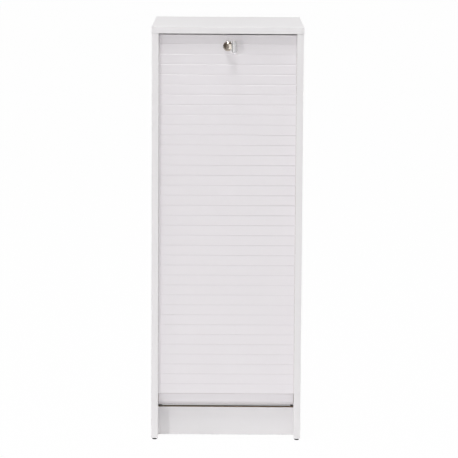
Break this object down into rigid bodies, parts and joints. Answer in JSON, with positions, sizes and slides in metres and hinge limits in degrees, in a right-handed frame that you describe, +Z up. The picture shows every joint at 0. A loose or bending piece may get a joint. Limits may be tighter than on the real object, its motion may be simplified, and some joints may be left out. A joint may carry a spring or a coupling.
{
  "type": "tambour cabinet",
  "caption": "Tall narrow storage cabinet closed by a sliding tambour of slats, with a cam lock and a folding key, shelves inside and a recessed plinth.",
  "frame": {"origin": "on the ground, in the middle of the whole object's footprint, the key's bow included", "axes": "+X to the cabinet's right as seen from the front, -Y towards its front, +Z up"},
  "size_m": [0.36, 0.445, 0.993],
  "materials": {
    "board": "white melamine on chipboard",
    "edge_band": "white plastic edge band",
    "slat": "white foiled fibreboard",
    "foil": "satin white foil",
    "hardboard": "white lacquered hardboard",
    "beech": "raw beech",
    "zinc": "zinc plated",
    "nickel": "nickel plated",
    "black_plastic": "moulded",
    "bow_plastic": "translucent grey, moulded"
  },
  "bodies": {
    "cabinet": {"top_panel": "board", "top_edge_bands": "edge_band", "side_right": "board", "side_left": "board", "side_edge_bands": "edge_band", "floor_panel": "board", "fixed_shelf": "board", "loose_shelf": "board", "shelf_edge_bands": "edge_band", "shelf_pins": "zinc", "inner_back": "hardboard", "back_panel": "hardboard", "back_nails": "zinc", "plinth_front": "board", "plinth_rear": "board", "dowels": "beech", "cam_bolts": "zinc", "cam_discs": "zinc", "glides": "black_plastic", "bend_slats": "slat", "floor_run_slats": "slat", "tail_bar": "slat", "tail_foil": "foil", "strike_plate": "zinc", "strike_screws": "zinc"},
    "shutter": {"lead_rail": "slat", "curtain_slats": "slat", "curtain_foil": "foil", "lock_rosette": "nickel", "lock_housing": "nickel", "lock_nut": "zinc"},
    "plug": {"lock_plug": "nickel", "lock_hook": "zinc", "hook_screw": "zinc"},
    "key": {"key_blade": "nickel", "key_pin": "nickel"},
    "bow": {"key_tang": "nickel", "key_bow": "bow_plastic"}
  },
  "joints": [
    {"name": "shutter_slide", "type": "slide", "parent": "cabinet", "child": "shutter", "axis": [0, 0, -1], "range_m": [0, 0.814], "deforming": ["curtain_slats", "curtain_foil"]},
    {"name": "lock_turn", "type": "hinge", "parent": "shutter", "child": "plug", "pos_m": [0, -0.18648, 0.947], "axis": [0, 1, 0], "range_deg": [0, 90]},
    {"name": "key_pull", "type": "slide", "parent": "plug", "child": "key", "axis": [0, -1, 0], "range_m": [0, 0.02]},
    {"name": "bow_fold", "type": "hinge", "parent": "key", "child": "bow", "pos_m": [0, -0.20448, 0.947], "axis": [0, 0, 1], "range_deg": [-142, 38]}
  ]
}
